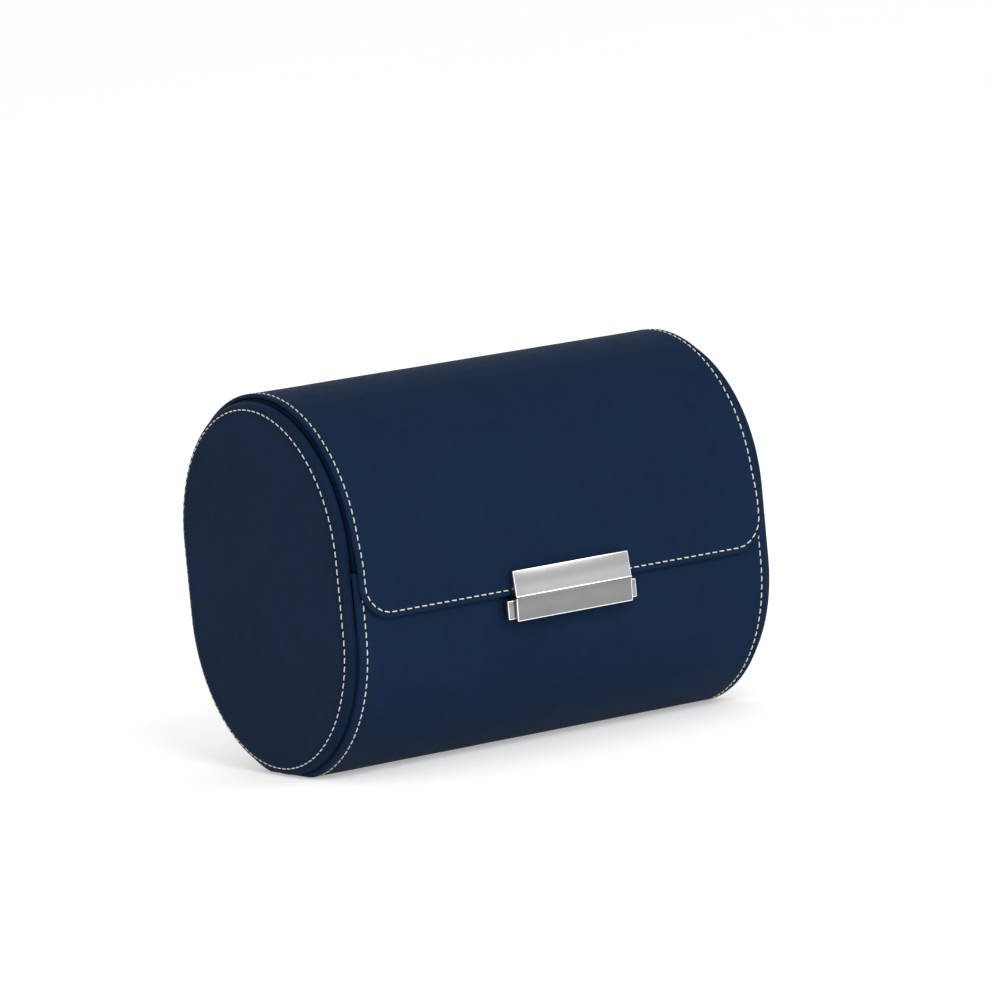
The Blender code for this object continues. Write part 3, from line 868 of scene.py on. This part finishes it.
def build_coil(label):
    """A wound wire spring."""
    low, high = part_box(f"spring_{label}")
    centre, wire = (low + high) / 2, 0.16 * MM
    radius = (high.z - low.z) / 2 - wire
    length = high.x - low.x - 2 * wire
    turns, steps, sides = 7, 20, 8
    verts = []
    for i in range(turns * steps + 1):
        a = 2 * math.pi * i / steps
        x = centre.x + length * (i / (turns * steps) - 0.5)
        out = Vector((0, math.cos(a), math.sin(a)))
        for b in (2 * math.pi * k / sides for k in range(sides)):
            middle = Vector((x + wire * math.sin(b), centre.y, centre.z))
            verts.append(middle + out * (radius + wire * math.cos(b)))
    faces = tube_faces(turns * steps + 1, sides)
    coil = tidy(new_object(f"coil_{label}", verts, faces, [SATIN]))
    declare(coil, "steel", "case", f"spring_{label}")
    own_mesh(coil)


# ---- Linings and inside fittings ----
R_LINING = R_BODY - 5.0 * MM            # visible face of the body's lining
R_LID_LINING = R_LID - 5.0 * MM
LINING = 0.9 * MM
INSET_LINING = 2.2 * MM
GUSSET_WIDTH = 144 * MM
CREASE_LIFT = -0.03 * MM                # thread sinks into the lining by this much


def lining_thread(name, spots, body, lift=0.02 * MM):
    declare(stitches(name, spots, THREAD_LINING, lift=lift, hole=SUEDE), "cushion", body)


def build_body_lining():
    path = Path(trough(R_LINING, MID_Z + 11.2 * MM, FRONT_TOP - 0.7 * MM))
    cloth = skin("body_lining_cloth", path, lambda s: X_BODY, LINING, INSET_LINING,
                 materials=(SUEDE, SUEDE), wave=0.10 * MM, groove=0.10 * MM)
    declare(cloth, "suede", "case", "body_lining")
    end = X_BODY - 3 * MM
    row = [path.place(path.length - INSET_LINING, x, CREASE_LIFT)
           for x in np.linspace(-end, end, 80)]
    lining_thread("lining_stitches", spots_along(row, lambda p: Vector((0, 1, 0))), "case")


def build_lid_lining():
    foot, turn = MID_Z + 8.6 * MM, 0.6 * MM
    points = over_top(R_LID_LINING, foot)
    straight = Path(points).length
    points += [(-R_LID_LINING - turn * (1 - math.cos(a)), foot - turn * math.sin(a))
               for a in np.linspace(0, math.pi / 2, 6)[1:]]
    path = Path(points + [(-48.2 * MM, foot - turn)], -1)
    half = X_LID - 1.5 * MM
    cloth = skin("lid_lining_cloth", path, lambda s: half, LINING, INSET_LINING,
                 corner=(3 * MM, 0), materials=(SUEDE, SUEDE), wave=0.12 * MM, groove=0.10 * MM,
                 fine=[straight - 0.4 * MM + 0.2 * MM * i for i in range(10)])
    declare(cloth, "suede", "lid", "lid_lining")
    side, end = half - INSET_LINING, straight - INSET_LINING
    line = [(s, side) for s in np.linspace(INSET_LINING, end, 200)]
    line += [(end, x) for x in np.linspace(side, 0, 60)[1:]]
    spots = spots_along(both_sides(path, line, CREASE_LIFT), lambda p: -section_normal(p))
    lining_thread("lid_lining_stitches", spots, "lid")


def build_hinge_gusset():
    """The strip that closes the inside of the hinge."""
    radius = R_LINING - 0.3 * MM
    path = Path([(radius, MID_Z + 7.8 * MM)] + arc(radius, ARC_TOP, 0, 12, 12), -1)
    gusset = skin("hinge_gusset_cloth", path, lambda s: GUSSET_WIDTH / 2, 0.6 * MM, 1.2 * MM,
                  materials=(SUEDE, SUEDE), wave=0.05 * MM, groove=0.05 * MM, rounding=0.25 * MM)
    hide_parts("hinge_gusset")
    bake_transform(gusset)


def covered_board(name, loop, x0, x1, rounding, node):
    """A board wrapped in suede: a section outline between two values of x, its rim rounded."""
    ring = [Vector((y, z)) for y, z in loop]
    inward = []
    for a, b, c in zip(ring[-1:] + ring[:-1], ring, ring[1:] + ring[:1]):
        along = (b - a).normalized() + (c - b).normalized()
        inward.append(Vector((-along.y, along.x)).normalized())
    profile = [(3, 0), (1, 0), (0.55, 0.1), (0.25, 0.3), (0.06, 0.65), (0, 1)]
    rows = [(k * rounding, x0 + t * rounding) for k, t in profile]
    rows += [(k * rounding, x1 - t * rounding) for k, t in profile[::-1]]
    verts = [(x, *(p + n * d)) for d, x in rows for p, n in zip(ring, inward)]
    board = tidy(new_object(name, verts, tube_faces(len(rows), len(ring)), [SUEDE]))
    crisp(board, 60)
    declare(board, "suede", "case", node)


def build_covered_boards():
    """The panels in the ends, narrower above where the lid passes them, and the divider."""
    loop = []
    for (y0, z0), (y1, z1) in zip(oval_loop(43.1 * MM, 200), oval_loop(40.6 * MM, 200)):
        t = step_between(z0, 0, 1, MID_Z + 5.6 * MM, MID_Z + 6.9 * MM)
        loop.append((y0 + (y1 - y0) * t, z0 + (z1 - z0) * t))
    stitch_loop = oval_loop(37.9 * MM, 300)
    for side, label in SIDES:
        low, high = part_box(f"end_lining_{label}")
        covered_board(f"end_panel_{label}", loop, low.x, high.x, 0.4 * MM, f"end_lining_{label}")
        face = high.x if side < 0 else low.x
        row = [(face, y, z) for y, z in stitch_loop + stitch_loop[:1]]
        lining_thread(f"end_panel_stitches_{label}",
                      spots_along(row, lambda p: Vector((-side, 0, 0))), "case", lift=0.0)
    low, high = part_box("divider")
    outline = trough(43.0 * MM, high.z, high.z)[::-1]       # anticlockwise
    covered_board("divider_panel", outline, low.x, high.x, 1.1 * MM, "divider")


def rounded_outline(half_x, half_y, radius, steps=8):
    """A rounded rectangle in the XY plane, anticlockwise."""
    loop = []
    for cx, cy, start in ((1, 1, 0), (-1, 1, 90), (-1, -1, 180), (1, -1, 270)):
        for i in range(steps + 1):
            a = math.radians(start + 90 * i / steps)
            loop.append((cx * (half_x - radius) + radius * math.cos(a),
                         cy * (half_y - radius) + radius * math.sin(a)))
    return loop


def build_tray():
    low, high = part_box("ring_tray")
    centre, half = (low + high) / 2, (high - low) / 2
    top = (high.z - low.z) / MM
    # (inset, height) in mm: the underside, the outer wall, its rounded rim and the inside
    profile = [(9, 0), (1.2, 0), (0.35, 0.35), (0, 1.2), (0, 5), (0, 12)]
    profile += [(0.8 - 0.8 * math.cos(a), top - 0.8 + 0.8 * math.sin(a))
                for a in np.linspace(0, math.pi, 9)]
    profile += [(1.6, 12), (1.6, 3.2), (1.9, 2.1), (2.8, 1.6), (9, 1.6)]
    verts = []
    for inset, z in profile:
        radius = max(3.0 - inset, 0.4) * MM
        for x, y in rounded_outline(half.x - inset * MM, half.y - inset * MM, radius):
            soft = 0.08 * MM * noise.noise(Vector((x * 120, y * 120, z * 0.3)))
            verts.append((centre.x + x + soft, centre.y + y + soft, low.z + z * MM))
    faces = tube_faces(len(profile), len(verts) // len(profile))
    tray = tidy(new_object("ring_tray_shell", verts, faces, [SUEDE]))
    declare(tray, "suede", "tray", "ring_tray")


def build_tray_pull():
    """A leather tab that narrows and leans a little towards its tip."""
    low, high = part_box("tray_pull")
    width, length = high.y - low.y, high.z - low.z
    rows, columns = 15, 9
    verts = []
    for face_x in (high.x, low.x):
        for up in np.linspace(0, 1, rows):
            tip = max(0.0, (up - 0.6) / 0.4)
            for across in np.linspace(-0.5, 0.5, columns):
                y = across * width * (1 - 0.10 * tip ** 3)
                verts.append((face_x - 1.2 * MM * tip ** 2, (low.y + high.y) / 2 + y,
                              low.z + length * up))
    pull = tidy(new_object("tray_pull_tab", verts, shell_faces(rows, columns)[0], [NAVY]))
    declare(pull, "navy", "tray", "tray_pull")


CLOTH_FRAMES = 20


def puff(obj, voxel, pressure, cap):
    """Swells a closed form like a stuffed cover, with cloth simulation, and applies it.

    cap is the furthest that a point may move.
    """
    remesh = obj.modifiers.new("remesh", "REMESH")
    remesh.mode = "VOXEL"
    remesh.voxel_size = voxel
    apply_modifiers(obj)
    start = np.array([v.co for v in obj.data.vertices])
    cloth = obj.modifiers.new("cloth", "CLOTH")
    cloth.settings.quality = 5
    cloth.settings.use_pressure = True
    cloth.settings.uniform_pressure_force = pressure
    cloth.settings.effector_weights.gravity = 0
    cloth.settings.tension_stiffness = 20
    cloth.settings.compression_stiffness = 15
    cloth.point_cache.frame_start = 1
    cloth.point_cache.frame_end = CLOTH_FRAMES
    scene = bpy.context.scene
    for number in range(1, CLOTH_FRAMES + 1):
        scene.frame_set(number)
    graph = bpy.context.evaluated_depsgraph_get()
    result = bpy.data.meshes.new_from_object(obj.evaluated_get(graph))
    obj.modifiers.clear()
    scene.frame_set(1)
    moved = np.array([v.co for v in result.vertices]) - start
    size = np.linalg.norm(moved, axis=1)
    moved *= (np.minimum(size, cap) / np.maximum(size, 1e-9))[:, None]
    obj.data.vertices.foreach_set("co", (start + moved).astype(np.float32).ravel())
    smoothed = obj.modifiers.new("smooth", "SMOOTH")
    smoothed.factor = 0.5
    smoothed.iterations = 4
    divided = obj.modifiers.new("divide", "SUBSURF")
    divided.levels = divided.render_levels = 1
    apply_modifiers(obj)
    shade_smooth(obj.data)


def lathe_roll(name, outline, ends):
    """A stuffed roll along X: outline(scale) gives a section loop and ends the (x, scale) rows."""
    verts = [(x, y, z) for x, scale in ends for y, z in outline(scale)]
    faces = tube_faces(len(ends), len(verts) // len(ends))
    return tidy(new_object(name, verts, faces, [CUSHION]))


def roll_ends(half, bulge):
    """Rows from one end to the other: a domed end, a nearly straight middle with a slight crown."""
    rows = [(-half - bulge * math.cos(a), max(math.sin(a), 0.12))
            for a in np.linspace(0.15, math.pi / 2, 6)]
    rows += [(x, 1 + 0.02 * math.cos(x / half * math.pi / 2))
             for x in np.linspace(-half, half, 12)[1:-1]]
    return rows + [(-x, scale) for x, scale in rows[5::-1]]


def build_ring_rolls():
    base = None
    for number in range(1, 6):
        node, name = f"ring_roll_{number}", f"ring_roll_cushion_{number}"
        low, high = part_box(node)
        centre, half = (low + high) / 2, (high - low) / 2
        if base is None:
            radius = half.z * 0.93

            def section(scale):
                return [(radius * scale * math.cos(a), radius * scale * math.sin(a))
                        for a in np.linspace(0, 2 * math.pi, 24, endpoint=False)]

            roll = lathe_roll(name, section, roll_ends(half.x * 0.88, half.x * 0.10))
            puff(roll, 1.3 * MM, 3.0, 0.7 * MM)
            base = roll.data.copy()
        else:
            roll = add_object(name, base.copy())
        for v in roll.data.vertices:
            out = Vector((0, v.co.y, v.co.z))
            seed = Vector((v.co.x * 90, v.co.y * 160, v.co.z * 160 + number * 7.3))
            folds = math.sin(math.atan2(v.co.z, v.co.y) * 13 + number)
            gather = 0.25 * MM * max(0.0, abs(v.co.x) / half.x - 0.72) * folds
            seam = -0.35 * MM * math.exp(-((v.co.y / (0.5 * MM)) ** 2)) if v.co.z < 0 else 0.0
            r = out.length
            grown = r + 0.16 * MM * noise.noise(seed) + gather * 3 + seam
            if r > 1e-6:
                out *= min(grown, half.z * 0.985) / r
            v.co = Vector((min(max(v.co.x, -half.x), half.x), out.y, out.z)) + centre
        roll.data.update()
        declare(roll, "cushion", "tray", node)


def build_pillow():
    low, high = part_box("bracelet_pillow")
    centre, half = (low + high) / 2, (high - low) / 2
    radius, straight = half.y * 0.955, half.z - half.y

    def section(scale):
        return [(y * scale, z * scale) for y, z in oval(radius, straight, 48)]

    pillow = lathe_roll("bracelet_pillow_cushion", section,
                        roll_ends(half.x * 0.86, half.x * 0.10))
    puff(pillow, 3.0 * MM, 4.0, 2.4 * MM)
    seam_x, limit = half.x * 0.80, half.y * 0.995
    for v in pillow.data.vertices:
        off_seam = abs(v.co.x) - seam_x
        pull = 0.9 * MM * math.exp(-((off_seam / (1.1 * MM)) ** 2))
        pucker = math.sin(math.atan2(v.co.z, v.co.y) * 46) * 0.16 * MM
        pucker *= math.exp(-((off_seam / (3 * MM)) ** 2))
        soft = 0.35 * MM * noise.noise(Vector((v.co.x * 40, v.co.y * 40, v.co.z * 40)))
        out = Vector((0, v.co.y, v.co.z))
        r = out.length
        if r > 1e-6:
            out *= (r - pull + pucker + soft) / r
        x, y, z = min(max(v.co.x, -half.x), half.x), out.y, out.z
        past = max(abs(z) - straight, 0.0)
        size = math.hypot(y, past)
        if size > limit:
            y *= limit / size
            if past:
                z = math.copysign(straight + past * limit / size, z)
        v.co = Vector((x, y, z)) + centre
    pillow.data.update()
    declare(pillow, "cushion", "pillow", "bracelet_pillow")
    for side, label in SIDES:
        curve = bpy.data.curves.new(f"pillow_piping_{label}", "CURVE")
        curve.dimensions = "3D"
        curve.bevel_depth = 0.75 * MM
        curve.bevel_resolution = 3
        line = curve.splines.new("POLY")
        loop = oval(radius, straight, 96)
        line.points.add(len(loop) - 1)
        for point, (y, z) in zip(line.points, loop):
            point.co = (centre.x + side * seam_x, centre.y + y, centre.z + z, 1)
        line.use_cyclic_u = True
        curve.materials.append(CUSHION)
        declare(add_object(f"pillow_piping_{label}", curve), "cushion", "pillow")


# ---- Stage ----
CAM_AZIMUTH, CAM_ELEVATION, CAM_ROLL = -32.9, 7.1, -5.4
CAM_DISTANCE, CAM_LENS = 2.308, 267.5
CAM_RIGHT, CAM_UP = 5.6 * MM, 17.6 * MM
SKY_LOW, SKY_TOP = 0.96, 0.66           # brightness of the studio at the horizon and above
FLOOR_GLOW = 0.36


def build_camera():
    az, el, roll = (math.radians(v) for v in (CAM_AZIMUTH, CAM_ELEVATION, CAM_ROLL))
    back = Vector((math.sin(az) * math.cos(el), -math.cos(az) * math.cos(el), math.sin(el)))
    right = Vector((math.cos(az), math.sin(az), 0))
    up = back.cross(right)
    right, up = (right * math.cos(roll) + up * math.sin(roll),
                 up * math.cos(roll) - right * math.sin(roll))
    camera = add_object("camera", bpy.data.cameras.new("camera"))
    camera.data.lens = CAM_LENS
    camera.data.sensor_width = 36
    camera.data.clip_start = 0.05
    camera.data.clip_end = 60
    place = Vector((0, 0, MID_Z)) + back * CAM_DISTANCE + right * CAM_RIGHT + up * CAM_UP
    turn = Matrix((right, up, back)).transposed().to_4x4()
    camera.matrix_world = Matrix.Translation(place) @ turn
    bpy.context.scene.camera = camera


def area_light(name, place, size, power):
    data = bpy.data.lights.new(name, "AREA")
    data.shape = "RECTANGLE"
    data.size, data.size_y = size
    data.energy = power
    light = add_object(name, data)
    light.location = place
    aim = Vector((0, 0, MID_Z)) - Vector(place)
    light.rotation_euler = aim.to_track_quat("-Z", "Y").to_euler()


def build_stage():
    n = Nodes("pale_floor")
    tone = n.mix(n.noise(3, 3), (0.80, 0.80, 0.80), (0.82, 0.82, 0.82))
    n.set(Base_Color=tone, Roughness=0.9, Specular_IOR_Level=0.1, Emission_Color=(1, 1, 1, 1),
          Emission_Strength=FLOOR_GLOW)
    bpy.ops.mesh.primitive_circle_add(vertices=128, radius=18, fill_type="NGON")
    floor = bpy.context.object
    floor.name = "floor"
    floor.data.materials.append(n.material)
    world = bpy.data.worlds.new("studio")
    world.use_nodes = True
    tree = world.node_tree
    place = tree.nodes.new("ShaderNodeTexCoord")
    split = tree.nodes.new("ShaderNodeSeparateXYZ")
    ramp = tree.nodes.new("ShaderNodeMapRange")
    ramp.inputs["To Min"].default_value = SKY_LOW
    ramp.inputs["To Max"].default_value = SKY_TOP
    tree.links.new(place.outputs["Generated"], split.inputs["Vector"])
    tree.links.new(split.outputs["Z"], ramp.inputs["Value"])
    tree.links.new(ramp.outputs["Result"], tree.nodes["Background"].inputs["Strength"])
    tree.nodes["Background"].inputs["Color"].default_value = (1, 1, 1, 1)
    bpy.context.scene.world = world
    bpy.context.scene.view_settings.view_transform = "Standard"
    area_light("key", (-0.35, -1.7, 1.5), (0.9, 0.6), 15)
    area_light("fill", (0.95, -1.45, 0.95), (1.2, 0.6), 6)
    area_light("back", (0.2, 1.6, 1.3), (1.2, 0.8), 3)


build_lid_wrap()
build_body_wrap()
for side, label in SIDES:
    build_end_cap(side, label)
    build_lid_rest(side, label)
build_clasp()
build_body_lining()
build_lid_lining()
build_hinge_gusset()
build_covered_boards()
build_tray()
build_tray_pull()
build_ring_rolls()
build_pillow()

SLOT_MATERIALS = {"navy": NAVY, "board": BONDED, "suede": SUEDE, "cushion": CUSHION,
                  "silver": STEEL, "steel": SATIN, "brass": BRASS}
for part in frame["record"]["subparts"]:
    node = frame["nodes"][part["node"]]
    if not node.hide_render:
        node.data.materials.clear()
        node.data.materials.append(SLOT_MATERIALS[part["material_slot"]])
        if part["material_slot"] == "suede":
            edge = node.modifiers.new("edge", "BEVEL")
            edge.width = 0.35 * MM
            edge.segments = 2
            edge.limit_method = "ANGLE"
            edge.angle_limit = math.radians(40)

build_camera()
build_stage()
